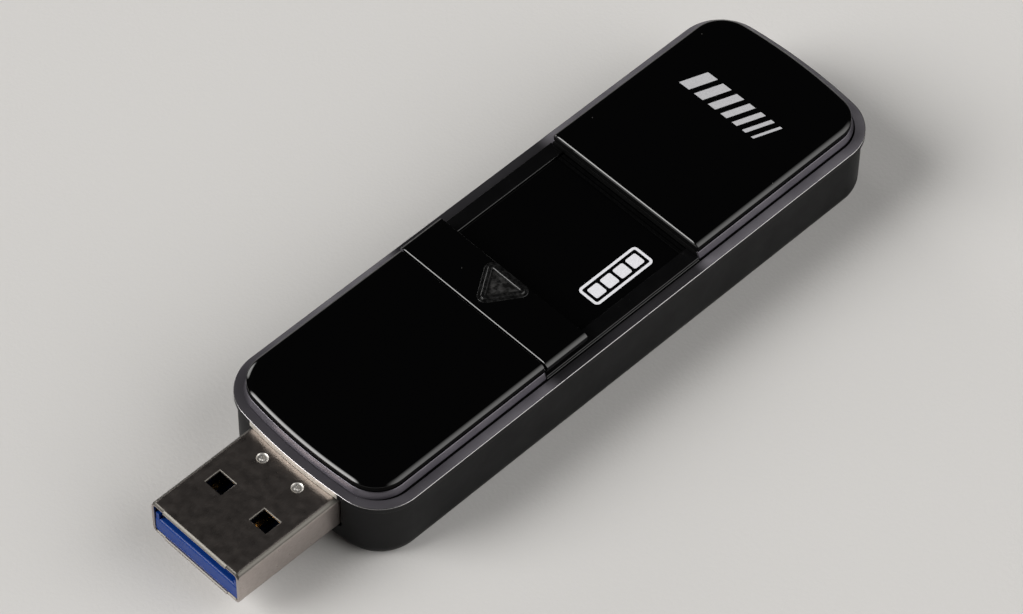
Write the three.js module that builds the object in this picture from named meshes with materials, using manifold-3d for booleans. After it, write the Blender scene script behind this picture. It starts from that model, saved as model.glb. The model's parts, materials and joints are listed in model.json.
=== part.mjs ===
// A sliding USB flash drive, in millimetres, +Z up.
// The plug points to -Y, X runs across the body, and the origin is the centre of the flat underside.
// The model stands with the plug pushed out. The slider travels towards +Y to bring the plug inside.

import * as THREE from "three";
import { mergeVertices } from "three/addons/utils/BufferGeometryUtils.js";
import Module from "manifold-3d";

// ---------------------------------------------------------------- driving dimensions

const BODY_LENGTH = 70.4;
const BODY_WIDTH = 22.8;
const BODY_HEIGHT = 10.3;
const END_RADIUS = 60; // the gentle arc across each end of the body
const CORNER_RADIUS = 5;

const PLUG_WIDTH = 12.0; // the standard type A plug
const PLUG_HEIGHT = 4.5;
const PLUG_SHEET = 0.3;
const PLUG_CORNER = 0.6;
const PLUG_LENGTH = 19.0;
const PLUG_OUT = 12.3; // how far the plug stands out of the nose
const PLUG_CENTRE_Z = 5.15;

const TRAVEL = 15.0;

// ---------------------------------------------------------------- sizes worked out from them

const NOSE_Y = -BODY_LENGTH / 2;
const PLUG_FRONT_Y = NOSE_Y - PLUG_OUT;
const PLUG_REAR_Y = PLUG_FRONT_Y + PLUG_LENGTH;
const PLUG_BOTTOM_Z = PLUG_CENTRE_Z - PLUG_HEIGHT / 2;
const PLUG_TOP_Z = PLUG_CENTRE_Z + PLUG_HEIGHT / 2;

// Shell stack, from the bottom up.
const FLOOR = 1.2;
const TUB_TOP_Z = 7.6;
const RIM_TOP_Z = 8.3;
const BAND_TOP_Z = 9.25;
const COVER_BOTTOM_Z = 9.4;

// How far each outline lies inside the body's outline.
const TUB_INSET = 0.3;
const TUB_WALL = 1.2;
const RIM_INNER_INSET = 2.3;
const BAND_INSET = 1.2;
const BAND_WALL = 1.0;
const COVER_INSET = 1.5;
const COVER_EDGE = 0.5;
const LIP_INSET = BAND_INSET + BAND_WALL + 0.1;
const LIP_WALL = 0.8;
const LIP_BOTTOM_Z = 8.75;

// The opening between the two covers, and the thumb pad that slides in it.
const FRONT_SEAM_Y = -11.45;
const REAR_SEAM_Y = 9.35;
const PAD_GAP = 0.15;
const PAD_FRONT_Y = FRONT_SEAM_Y + PAD_GAP;
const PAD_REAR_Y = REAR_SEAM_Y - TRAVEL - 2 * PAD_GAP;
const PAD_SKIRT_INSET = 1.8;
const PAD_BOTTOM_Z = 8.85;

// The slider plate closes the opening on both sides of the pad at either end of the travel.
const PLATE_HALF_WIDTH = 8.45;
const PLATE_BOTTOM_Z = 7.7;
const PLATE_TOP_Z = 8.5;
const PLATE_HIDDEN = 1.0;
const PLATE_FRONT_Y = PAD_FRONT_Y - TRAVEL - 2 * PAD_GAP - PLATE_HIDDEN;
const PLATE_REAR_Y = REAR_SEAM_Y + PLATE_HIDDEN;

const RAIL_INNER_X = 8.6;
const RAIL_LEG = 0.45;
const RAIL_OUTER_X = 10.15;
const RAIL_TOP_Z = 8.75;
const RAIL_FOOT_Z = 6.4;
const RAIL_HALF_LENGTH = 26;

const SLED_HALF_WIDTH = 8.3;
const SLED_WALL = 0.9;
const SLED_BOTTOM_Z = 1.6;
const SLED_FRONT_Y = -31.2;
const SLED_REAR_Y = 8.5;
const RUNNER_HEIGHT = 0.35;

const PCB_HALF_WIDTH = 7.2;
const PCB_THICKNESS = 0.8;
const PCB_TOP_Z = 5.0;
const PCB_FRONT_Y = PLUG_REAR_Y + 0.3;
const PCB_REAR_Y = 7.5;

const INSULATOR_TOP_Z = PLUG_CENTRE_Z;
const CONTACT_THICKNESS = 0.12;

// ---------------------------------------------------------------- solids and booleans

const wasm = await Module();
wasm.setup();

function solidOf(geometry) {
  const bare = geometry.clone();
  bare.deleteAttribute("normal");
  bare.deleteAttribute("uv");
  const merged = mergeVertices(bare, 1e-4);
  return new wasm.Manifold(
    new wasm.Mesh({
      numProp: 3,
      vertProperties: merged.attributes.position.array,
      triVerts: new Uint32Array(merged.index.array),
    }),
  );
}

function geometryOf(solid) {
  const { vertProperties, triVerts } = solid.getMesh();
  const geometry = new THREE.BufferGeometry();
  geometry.setAttribute("position", new THREE.BufferAttribute(vertProperties, 3));
  geometry.setIndex(new THREE.BufferAttribute(triVerts, 1));
  geometry.computeVertexNormals();
  return geometry;
}

function join(first, ...others) {
  return geometryOf(others.reduce((sum, other) => sum.add(solidOf(other)), solidOf(first)));
}

function cut(first, ...tools) {
  return geometryOf(tools.reduce((left, tool) => left.subtract(solidOf(tool)), solidOf(first)));
}

function common(first, second) {
  return geometryOf(solidOf(first).intersect(solidOf(second)));
}

// ---------------------------------------------------------------- shapes

// A block between two values on each axis.
function block([x0, x1], [y0, y1], [z0, z1]) {
  const geometry = new THREE.BoxGeometry(x1 - x0, y1 - y0, z1 - z0);
  return geometry.translate((x0 + x1) / 2, (y0 + y1) / 2, (z0 + z1) / 2);
}

const across = (halfWidth) => [-halfWidth, halfWidth];

function arcPoints(centreX, centreY, radius, from, to, steps) {
  return Array.from({ length: steps + 1 }, (_, i) => {
    const angle = from + ((to - from) * i) / steps;
    return new THREE.Vector2(
      centreX + radius * Math.cos(angle),
      centreY + radius * Math.sin(angle),
    );
  });
}

// The body's outline in plan, moved inwards by inset: straight sides, an arc across each end
// and a tangent corner arc between them. Each quarter is the same arc pair, mirrored.
function bodyOutline(inset) {
  const endCentreY = BODY_LENGTH / 2 - END_RADIUS;
  const cornerX = BODY_WIDTH / 2 - CORNER_RADIUS;
  const cornerY = endCentreY + Math.sqrt((END_RADIUS - CORNER_RADIUS) ** 2 - cornerX ** 2);
  const turn = Math.atan2(cornerY - endCentreY, cornerX);
  const corner = arcPoints(cornerX, cornerY, CORNER_RADIUS - inset, 0, turn, 9);
  const end = arcPoints(0, endCentreY, END_RADIUS - inset, turn, Math.PI / 2, 5).slice(1);
  const quarter = [...corner, ...end];
  const mirrorX = quarter.slice(0, -1).reverse().map((p) => new THREE.Vector2(-p.x, p.y));
  const rearHalf = [...quarter, ...mirrorX];
  const frontHalf = rearHalf.map((p) => new THREE.Vector2(-p.x, -p.y));
  return new THREE.Shape([...rearHalf, ...frontHalf]);
}

// A slab with the body's outline. A rounded slab has both its edges rounded by that radius.
function slab(inset, [z0, z1], rounding = 0) {
  const geometry = new THREE.ExtrudeGeometry(bodyOutline(inset), {
    depth: z1 - z0 - 2 * rounding,
    bevelEnabled: rounding > 0,
    bevelThickness: rounding,
    bevelSize: rounding,
    bevelOffset: -rounding,
    bevelSegments: 4,
  });
  return geometry.translate(0, 0, z0 + rounding);
}

// Everything within the body's width and height that lies between two values of Y.
function span(y0, y1) {
  return block(across(BODY_WIDTH), [y0, y1], [-BODY_HEIGHT, 2 * BODY_HEIGHT]);
}

function roundedRectangle(width, height, radius) {
  const shape = new THREE.Shape();
  const x = width / 2 - radius;
  const y = height / 2 - radius;
  const corners = [[x, y], [-x, y], [-x, -y], [x, -y]];
  shape.setFromPoints(
    corners.flatMap(([cx, cy], i) =>
      arcPoints(cx, cy, radius, (i * Math.PI) / 2, ((i + 1) * Math.PI) / 2, 5),
    ),
  );
  return shape;
}

// An upright outline drawn in X and Z about the plug's centre, run along Y.
function alongY(shape, [y0, y1]) {
  const geometry = new THREE.ExtrudeGeometry(shape, { depth: y1 - y0, bevelEnabled: false });
  return geometry.rotateX(Math.PI / 2).translate(0, y1, PLUG_CENTRE_Z);
}

// A side view drawn in Y and Z, given thickness along X between two values.
function alongX(points, [x0, x1]) {
  const shape = new THREE.Shape(points.map(([y, z]) => new THREE.Vector2(y, z)));
  const geometry = new THREE.ExtrudeGeometry(shape, { depth: x1 - x0, bevelEnabled: false });
  return geometry.rotateX(Math.PI / 2).rotateZ(Math.PI / 2).translate(x0, 0, 0);
}

// ---------------------------------------------------------------- finishes

function finish(colour, roughness, metalness) {
  return new THREE.MeshStandardMaterial({ color: colour, roughness, metalness });
}

const glossBlack = () => finish(0x050506, 0.06, 0);
const satinGraphite = () => finish(0x6d6a72, 0.35, 0.8);
const mouldedBlack = () => finish(0x101012, 0.45, 0);
const darkGrey = () => finish(0x2a2a2d, 0.4, 0);
const plugSteel = () => finish(0xb9b2a8, 0.3, 1);
const plugBlue = () => finish(0x1560a8, 0.4, 0);
const goldPlate = () => finish(0xd9a441, 0.25, 1);
const boardGreen = () => finish(0x14402a, 0.5, 0);
const chipBlack = () => finish(0x1a1a1c, 0.6, 0);
const canMetal = () => finish(0xb0b2b5, 0.3, 1);
const ceramicTan = () => finish(0xb08a5e, 0.5, 0);

const drive = new THREE.Group();
const housing = new THREE.Group();
const slider = new THREE.Group();
drive.add(housing, slider);

function piece(group, name, geometry, material) {
  const mesh = new THREE.Mesh(geometry, material);
  mesh.name = name;
  group.add(mesh);
  return mesh;
}

// ---------------------------------------------------------------- housing

const FOOT_RADIUS = 1.6;
const MOUTH_CLEARANCE = 0.15;
const DETENT_Z = [2.4, 4.6];
const DETENT_HALF_LENGTH = 0.8;
const DETENT_DEPTH = 0.35;
const TUB_WALL_X = BODY_WIDTH / 2 - TUB_INSET - TUB_WALL;

// The lower casing: a tub with a rounded foot, the mouth for the plug in its nose, two runners
// under the sled, a stop behind it, and a pair of detent notches in each side wall.
function bottomShell() {
  const outer = common(
    slab(TUB_INSET, [0, TUB_TOP_Z + 2 * FOOT_RADIUS], FOOT_RADIUS),
    block(across(BODY_WIDTH), across(BODY_LENGTH), [0, TUB_TOP_Z]),
  );
  const cavity = slab(TUB_INSET + TUB_WALL, [FLOOR, BODY_HEIGHT]);
  const mouth = block(
    across(PLUG_WIDTH / 2 + MOUTH_CLEARANCE),
    [NOSE_Y - TUB_WALL, NOSE_Y + 2 * TUB_WALL],
    [PLUG_BOTTOM_Z - MOUTH_CLEARANCE, BODY_HEIGHT],
  );
  return join(cut(outer, cavity, mouth, ...detentNotches()), ...runners(), rearStop());
}

function detentNotches() {
  const notch = (wallX, y) =>
    block(
      [wallX - DETENT_DEPTH, wallX + DETENT_DEPTH],
      [y - DETENT_HALF_LENGTH, y + DETENT_HALF_LENGTH],
      DETENT_Z,
    );
  return [-TUB_WALL_X, TUB_WALL_X].flatMap((wallX) => [notch(wallX, 0), notch(wallX, TRAVEL)]);
}

function runners() {
  const middleX = 6.5;
  const halfWidth = 0.5;
  const halfLength = 30.5;
  return [-middleX, middleX].map((x) =>
    block(
      [x - halfWidth, x + halfWidth],
      across(halfLength),
      [FLOOR / 2, FLOOR + RUNNER_HEIGHT],
    ),
  );
}

function rearStop() {
  const halfWidth = 4;
  const thickness = 1.2;
  const topZ = 4;
  const y = SLED_REAR_Y + TRAVEL + PAD_GAP;
  return block(across(halfWidth), [y, y + thickness], [FLOOR / 2, topZ]);
}

// The flat ring between the bottom shell and the covers, with its outer edge rounded.
function rimFrame() {
  const edge = 0.15;
  const ring = common(
    slab(0, [TUB_TOP_Z - 2 * edge, RIM_TOP_Z], edge),
    block(across(BODY_WIDTH), across(BODY_LENGTH), [TUB_TOP_Z, RIM_TOP_Z]),
  );
  return cut(ring, slab(RIM_INNER_INSET, [0, BODY_HEIGHT]));
}

// A guide rail: a leg beside the slider along the body, and a flange that trims the opening.
function rail(side) {
  const gap = 0.05;
  const place = (x0, x1) => (side > 0 ? [x0, x1] : [-x1, -x0]);
  return join(
    block(
      place(RAIL_INNER_X, RAIL_INNER_X + RAIL_LEG),
      across(RAIL_HALF_LENGTH),
      [RAIL_FOOT_Z, RIM_TOP_Z],
    ),
    block(
      place(RAIL_INNER_X, RAIL_OUTER_X),
      [FRONT_SEAM_Y + gap, REAR_SEAM_Y - gap],
      [RIM_TOP_Z, RAIL_TOP_Z],
    ),
  );
}

// The wall that carries a cover. Its seam end is closed above the slider plate.
function band([y0, y1], seamY) {
  const plateClearance = 0.12;
  const outer = common(slab(BAND_INSET, [RIM_TOP_Z, BAND_TOP_Z]), span(y0, y1));
  const pocket = common(
    slab(BAND_INSET + BAND_WALL, [0, 2 * BODY_HEIGHT]),
    seamY === y1 ? span(y0, y1 - BAND_WALL) : span(y0 + BAND_WALL, y1),
  );
  const passage = block(
    across(RAIL_INNER_X),
    [seamY - 2 * BAND_WALL, seamY + 2 * BAND_WALL],
    [0, PLATE_TOP_Z + plateClearance],
  );
  return cut(outer, pocket, passage);
}

// The rounded plate that the two covers and the thumb pad are cut from.
function topPlate(bottomZ) {
  return common(
    slab(COVER_INSET, [bottomZ - COVER_EDGE, BODY_HEIGHT], COVER_EDGE),
    block(across(BODY_WIDTH), across(BODY_LENGTH), [bottomZ, BODY_HEIGHT]),
  );
}

// A glossy cover, and a lip under it that drops into the band.
function cover([y0, y1], seamY) {
  const seamWall = LIP_INSET - BAND_INSET;
  const within = (wall) => (seamY === y1 ? span(y0, y1 - wall) : span(y0 + wall, y1));
  const overlap = 0.1;
  const lip = cut(
    common(slab(LIP_INSET, [LIP_BOTTOM_Z, COVER_BOTTOM_Z + overlap]), within(seamWall)),
    common(slab(LIP_INSET + LIP_WALL, [0, COVER_BOTTOM_Z]), within(seamWall + LIP_WALL)),
  );
  return join(common(topPlate(COVER_BOTTOM_Z), span(y0, y1)), lip);
}

const FRONT_SPAN = [-BODY_LENGTH, FRONT_SEAM_Y];
const REAR_SPAN = [REAR_SEAM_Y, BODY_LENGTH];

piece(housing, "bottom_shell", bottomShell(), mouldedBlack());
piece(housing, "rim_frame", rimFrame(), satinGraphite());
piece(housing, "left_rail", rail(-1), darkGrey());
piece(housing, "right_rail", rail(1), darkGrey());
piece(housing, "front_band", band(FRONT_SPAN, FRONT_SEAM_Y), satinGraphite());
piece(housing, "rear_band", band(REAR_SPAN, REAR_SEAM_Y), satinGraphite());
piece(housing, "front_cover", cover(FRONT_SPAN, FRONT_SEAM_Y), glossBlack());
piece(housing, "rear_cover", cover(REAR_SPAN, REAR_SEAM_Y), glossBlack());

// ---------------------------------------------------------------- slider: plate, pad and sled

// The thumb pad lies flush with the covers, and an arrow ridge on it points to the plug.
function thumbPad() {
  const padSpan = span(PAD_FRONT_Y, PAD_REAR_Y);
  const top = common(topPlate(COVER_BOTTOM_Z), padSpan);
  const skirt = common(slab(PAD_SKIRT_INSET, [PAD_BOTTOM_Z, COVER_BOTTOM_Z + COVER_EDGE / 2]), padSpan);
  const footInset = 0.4;
  const foot = block(
    across(PLATE_HALF_WIDTH - footInset),
    [PAD_FRONT_Y + footInset, PAD_REAR_Y - footInset],
    [PLATE_TOP_Z, COVER_BOTTOM_Z],
  );
  return join(top, skirt, foot, arrowRidge());
}

// A raised outline of a triangle. The hole in it is the same triangle, made smaller about the
// point that lies one wall inside all three sides.
function arrowRidge() {
  const tipY = PAD_FRONT_Y + 0.9;
  const arrowLength = 4.0;
  const arrowHalfWidth = 2.5;
  const wall = 0.5;
  const height = 0.18;
  const sunk = 0.1;
  const slant = Math.hypot(arrowLength, arrowHalfWidth);
  const inRadius = (arrowLength * arrowHalfWidth) / (slant + arrowHalfWidth);
  const centreY = tipY + arrowLength - inRadius;
  const triangle = (scale) => [
    new THREE.Vector2(0, centreY + (tipY - centreY) * scale),
    new THREE.Vector2(arrowHalfWidth * scale, centreY + inRadius * scale),
    new THREE.Vector2(-arrowHalfWidth * scale, centreY + inRadius * scale),
  ];
  const ridge = new THREE.Shape(triangle(1));
  ridge.holes.push(new THREE.Path(triangle(1 - wall / inRadius)));
  const geometry = new THREE.ExtrudeGeometry(ridge, {
    depth: height + sunk,
    bevelEnabled: false,
  });
  return geometry.translate(0, 0, BODY_HEIGHT - sunk);
}

// The sled carries the plug and the board: a tray with a collar round the plug's tail, ledges
// under the board, and a wing on each side that runs under the rail so the slider can't lift.
function sled() {
  const wingHalfWidth = 9.6;
  const wingFrontY = -28;
  const wingZ = [5.5, 6.2];
  const ledgeInnerX = 6.5;
  const collarLength = 1.8;
  const grip = 0.05;
  const overlap = 0.2;
  const endGap = 0.5;
  const innerX = SLED_HALF_WIDTH - SLED_WALL;
  const bothSides = (x0, x1, ys, zs) => [block([x0, x1], ys, zs), block([-x1, -x0], ys, zs)];
  const tray = cut(
    block(across(SLED_HALF_WIDTH), [SLED_FRONT_Y, SLED_REAR_Y], [SLED_BOTTOM_Z, PLATE_BOTTOM_Z]),
    block(
      across(innerX),
      [SLED_FRONT_Y + collarLength, SLED_REAR_Y - SLED_WALL],
      [SLED_BOTTOM_Z + SLED_WALL, BODY_HEIGHT],
    ),
    alongY(
      roundedRectangle(PLUG_WIDTH + 2 * grip, PLUG_HEIGHT + 2 * grip, PLUG_CORNER + grip),
      [SLED_FRONT_Y - collarLength, SLED_FRONT_Y + 2 * collarLength],
    ),
  );
  const ledges = bothSides(
    ledgeInnerX,
    innerX + overlap,
    [PCB_FRONT_Y + endGap, SLED_REAR_Y - endGap],
    [SLED_BOTTOM_Z + SLED_WALL / 2, PCB_TOP_Z - PCB_THICKNESS],
  );
  const wings = bothSides(
    SLED_HALF_WIDTH - overlap,
    wingHalfWidth,
    [wingFrontY, SLED_REAR_Y - endGap],
    wingZ,
  );
  return join(tray, ...ledges, ...wings);
}

// A leaf spring on the sled's flank. Its crown faces the detent notches in the bottom shell.
function detentSpring() {
  const halfLength = 4;
  const crown = 1.35;
  const leaf = 0.15;
  const steps = 16;
  const fit = 0.05;
  const slack = 0.2;
  const bow = (thickness) =>
    Array.from({ length: steps + 1 }, (_, i) => {
      const t = (2 * i) / steps - 1;
      return new THREE.Vector2(
        thickness + (crown - leaf) * Math.cos((t * Math.PI) / 2) ** 2,
        t * halfLength,
      );
    });
  const outline = new THREE.Shape([...bow(leaf), ...bow(0).reverse()]);
  const geometry = new THREE.ExtrudeGeometry(outline, {
    depth: DETENT_Z[1] - DETENT_Z[0] - 2 * slack,
    bevelEnabled: false,
  });
  return geometry.translate(SLED_HALF_WIDTH + fit, 0, DETENT_Z[0] + slack);
}

piece(
  slider,
  "slider_plate",
  block(across(PLATE_HALF_WIDTH), [PLATE_FRONT_Y, PLATE_REAR_Y], [PLATE_BOTTOM_Z, PLATE_TOP_Z]),
  glossBlack(),
);
piece(slider, "thumb_pad", thumbPad(), glossBlack());
piece(slider, "sled", sled(), mouldedBlack());
piece(slider, "right_detent_spring", detentSpring(), canMetal());
piece(slider, "left_detent_spring", detentSpring().rotateZ(Math.PI), canMetal());

// ---------------------------------------------------------------- slider: plug

// The folded steel shell, with two latch windows above and below and two pips on top.
function plugShell() {
  const windowInnerX = 1.85;
  const windowWidth = 2.45;
  const windowY = [PLUG_FRONT_Y + 5.2, PLUG_FRONT_Y + 7.25];
  const pipX = 2.4;
  const pipY = PLUG_FRONT_Y + 10.9;
  const pipRadius = 0.6;
  const pipDepth = 0.1;
  const tube = cut(
    alongY(roundedRectangle(PLUG_WIDTH, PLUG_HEIGHT, PLUG_CORNER), [PLUG_FRONT_Y, PLUG_REAR_Y]),
    alongY(
      roundedRectangle(
        PLUG_WIDTH - 2 * PLUG_SHEET,
        PLUG_HEIGHT - 2 * PLUG_SHEET,
        PLUG_CORNER - PLUG_SHEET,
      ),
      [PLUG_FRONT_Y - PLUG_SHEET, PLUG_REAR_Y + PLUG_SHEET],
    ),
  );
  const windows = [
    [windowInnerX, windowInnerX + windowWidth],
    [-windowInnerX - windowWidth, -windowInnerX],
  ].map((xs) => block(xs, windowY, [0, BODY_HEIGHT]));
  const pips = [-pipX, pipX].map((x) =>
    new THREE.CylinderGeometry(pipRadius, pipRadius, 2 * pipDepth, 20)
      .rotateX(Math.PI / 2)
      .translate(x, pipY, PLUG_TOP_Z),
  );
  return cut(tube, ...windows, ...pips);
}

// Each flat contact is a wide pad whose narrow tail runs between two sprung contacts.
const FLAT_CONTACTS = [
  { padX: -3.5, tailX: -3 },
  { padX: -1, tailX: -1 },
  { padX: 1, tailX: 1 },
  { padX: 3.5, tailX: 3 },
];
const PAD_HALF_WIDTH = 0.5;
const TAIL_HALF_WIDTH = 0.25;
const FLAT_CONTACT_FRONT_Y = PLUG_FRONT_Y + 1.6;
const FLAT_PAD_REAR_Y = PLUG_FRONT_Y + 5.0;
const SPRUNG_CONTACTS_X = [-4, -2, 0, 2, 4];
const SPRUNG_CONTACT_FRONT_Y = PLUG_FRONT_Y + 5.3;
const CONTACT_TAIL_Y = PLUG_REAR_Y + 2.6;

// The insulator fills the lower half of the plug. Its taller tail grips the shell's end and has
// a passage for the contacts, and the flat contacts lie in grooves, flush with its top.
function plugInsulator() {
  const fit = 0.03;
  const halfWidth = PLUG_WIDTH / 2 - PLUG_SHEET - fit;
  const bottomZ = PLUG_BOTTOM_Z + PLUG_SHEET + fit;
  const topZ = PLUG_TOP_Z - PLUG_SHEET - fit;
  const tailLength = 5;
  const corner = 0.3;
  const endGap = 0.2;
  const passageHalfWidth = 4.95;
  const passageHeight = 0.5;
  const frontY = PLUG_FRONT_Y + endGap;
  const tailY = PLUG_REAR_Y - tailLength;
  const full = alongY(
    roundedRectangle(2 * halfWidth, topZ - bottomZ, corner),
    [frontY, PLUG_REAR_Y - endGap],
  );
  const grooveZ = [INSULATOR_TOP_Z - CONTACT_THICKNESS, INSULATOR_TOP_Z + CONTACT_THICKNESS];
  const grooves = FLAT_CONTACTS.map((place) => flatContactShape(place, fit, grooveZ, PLUG_REAR_Y));
  return cut(
    full,
    block(across(PLUG_WIDTH), [PLUG_FRONT_Y, tailY], [INSULATOR_TOP_Z, BODY_HEIGHT]),
    block(
      across(passageHalfWidth),
      [PLUG_FRONT_Y, PLUG_REAR_Y],
      [INSULATOR_TOP_Z, INSULATOR_TOP_Z + passageHeight],
    ),
    ...grooves,
  );
}

// A pad and its tail, grown sideways by a margin. The same shape makes a contact and its groove.
function flatContactShape({ padX, tailX }, margin, zs, rearY) {
  const padHalf = PAD_HALF_WIDTH + margin;
  const tailHalf = TAIL_HALF_WIDTH + margin;
  const pad = block(
    [padX - padHalf, padX + padHalf],
    [FLAT_CONTACT_FRONT_Y - margin, FLAT_PAD_REAR_Y + margin],
    zs,
  );
  const tail = block([tailX - tailHalf, tailX + tailHalf], [FLAT_PAD_REAR_Y - PAD_HALF_WIDTH, rearY], zs);
  return join(pad, tail);
}

// One of the five narrow high-speed contacts, arched near its front so that it springs.
function sprungContact(x) {
  const halfWidth = 0.3;
  const archLength = 2.6;
  const archHeight = 0.5;
  const steps = 10;
  const arch = (lift) =>
    Array.from({ length: steps + 1 }, (_, i) => [
      SPRUNG_CONTACT_FRONT_Y + (archLength * i) / steps,
      INSULATOR_TOP_Z + lift + archHeight * Math.sin((Math.PI * i) / steps) ** 2,
    ]);
  const outline = [
    ...arch(0),
    [CONTACT_TAIL_Y, INSULATOR_TOP_Z],
    [CONTACT_TAIL_Y, INSULATOR_TOP_Z + CONTACT_THICKNESS],
    ...arch(CONTACT_THICKNESS).reverse(),
  ];
  return alongX(outline, [x - halfWidth, x + halfWidth]);
}

piece(slider, "plug_shell", plugShell(), plugSteel());
piece(slider, "plug_insulator", plugInsulator(), plugBlue());
FLAT_CONTACTS.forEach((place, i) => {
  const zs = [INSULATOR_TOP_Z - CONTACT_THICKNESS, INSULATOR_TOP_Z];
  const contact = flatContactShape(place, 0, zs, CONTACT_TAIL_Y);
  piece(slider, `flat_contact_${i + 1}`, contact, goldPlate());
});
SPRUNG_CONTACTS_X.forEach((x, i) => {
  piece(slider, `sprung_contact_${i + 1}`, sprungContact(x), goldPlate());
});

// ---------------------------------------------------------------- slider: board

function onBoard(name, [x, y], [width, length, height], material) {
  const solderGap = 0.02;
  const bottom = PCB_TOP_Z + solderGap;
  piece(
    slider,
    name,
    block([x - width / 2, x + width / 2], [y - length / 2, y + length / 2], [bottom, bottom + height]),
    material,
  );
}

piece(
  slider,
  "circuit_board",
  block(across(PCB_HALF_WIDTH), [PCB_FRONT_Y, PCB_REAR_Y], [PCB_TOP_Z - PCB_THICKNESS, PCB_TOP_Z]),
  boardGreen(),
);
onBoard("controller_chip", [-1.5, -19.5], [7, 7, 0.85], chipBlack());
onBoard("flash_chip", [0, -4.2], [12, 18, 1.0], chipBlack());
onBoard("crystal", [4.6, -20.5], [2.5, 3.2, 0.7], canMetal());
onBoard("power_coil", [4.6, -17], [2.5, 2, 1.0], darkGrey());
[-4.5, -2.5, -0.5, 1.5].forEach((x, i) => {
  onBoard(`capacitor_${i + 1}`, [x, -14.5], [1.0, 0.5, 0.5], ceramicTan());
});

export default drive;
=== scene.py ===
"""A sliding USB flash drive: its fine shells, plug and finishes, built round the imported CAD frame.

Shapes are worked out in millimetres from the frame's boxes and turned into metres when a mesh is made.
"""

import json
import math

import bpy
from mathutils import Matrix, Vector


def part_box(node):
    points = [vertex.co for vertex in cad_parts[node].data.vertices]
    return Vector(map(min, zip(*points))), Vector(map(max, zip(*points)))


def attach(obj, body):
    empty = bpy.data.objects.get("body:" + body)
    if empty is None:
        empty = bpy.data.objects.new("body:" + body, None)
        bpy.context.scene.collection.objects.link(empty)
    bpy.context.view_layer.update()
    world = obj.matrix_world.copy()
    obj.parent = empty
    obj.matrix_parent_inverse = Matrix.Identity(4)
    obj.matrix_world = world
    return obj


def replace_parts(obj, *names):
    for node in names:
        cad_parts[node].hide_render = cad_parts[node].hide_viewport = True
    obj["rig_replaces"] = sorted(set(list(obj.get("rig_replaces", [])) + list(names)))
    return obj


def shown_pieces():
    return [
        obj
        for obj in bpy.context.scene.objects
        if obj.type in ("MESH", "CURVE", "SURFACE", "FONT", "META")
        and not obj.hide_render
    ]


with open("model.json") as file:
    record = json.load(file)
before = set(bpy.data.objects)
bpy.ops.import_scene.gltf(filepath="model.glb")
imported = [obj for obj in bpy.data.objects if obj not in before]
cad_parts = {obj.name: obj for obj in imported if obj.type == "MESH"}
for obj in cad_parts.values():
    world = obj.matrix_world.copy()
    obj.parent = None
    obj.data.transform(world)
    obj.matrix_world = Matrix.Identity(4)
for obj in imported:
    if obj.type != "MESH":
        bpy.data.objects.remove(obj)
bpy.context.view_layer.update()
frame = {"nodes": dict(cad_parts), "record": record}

MM = 0.001

HOUSING = "housing"
SLIDER = "slider"


# ------------------------------------------------------------------ sizes read from the frame


def box_mm(node):
    """The low and the high corner of a CAD node's box."""
    low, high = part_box(node)
    return low / MM, high / MM


RIM_LOW, RIM_HIGH = box_mm("rim_frame")
BODY_HALF_WIDTH = RIM_HIGH.x
BODY_HALF_LENGTH = RIM_HIGH.y
RIM_BOTTOM_Z = RIM_LOW.z
RIM_TOP_Z = RIM_HIGH.z

REAR_COVER_LOW, REAR_COVER_HIGH = box_mm("rear_cover")
FRONT_SEAM_Y = box_mm("front_cover")[1].y
REAR_SEAM_Y = REAR_COVER_LOW.y
TOP_Z = REAR_COVER_HIGH.z
LIP_BOTTOM_Z = REAR_COVER_LOW.z
COVER_INSET = BODY_HALF_WIDTH - REAR_COVER_HIGH.x

BAND_HIGH = box_mm("rear_band")[1]
BAND_INSET = BODY_HALF_WIDTH - BAND_HIGH.x
TUB_INSET = BODY_HALF_WIDTH - box_mm("bottom_shell")[1].x
RAIL_LOW, RAIL_HIGH = box_mm("right_rail")

PLATE_LOW, PLATE_HIGH = box_mm("slider_plate")
PAD_LOW, PAD_HIGH = box_mm("thumb_pad")
SHELL_LOW, SHELL_HIGH = box_mm("plug_shell")
SHELL_CENTRE_Z = (SHELL_LOW.z + SHELL_HIGH.z) / 2
INSULATOR_LOW, INSULATOR_HIGH = box_mm("plug_insulator")


# ------------------------------------------------------------------ sizes that no box shows


END_RADIUS = 60.0
CORNER_RADIUS = 5.0
TUB_WALL = 1.2
BAND_WALL = 1.0
GROOVE_HEIGHT = 0.15
COVER_BOTTOM_Z = BAND_HIGH.z + GROOVE_HEIGHT
SHELL_SHEET = 0.3
SHELL_CORNER = 0.6


# ------------------------------------------------------------------ finishes


CLOUDY = (0.3, 0.7)  # the values between which most of a noise lies


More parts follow.
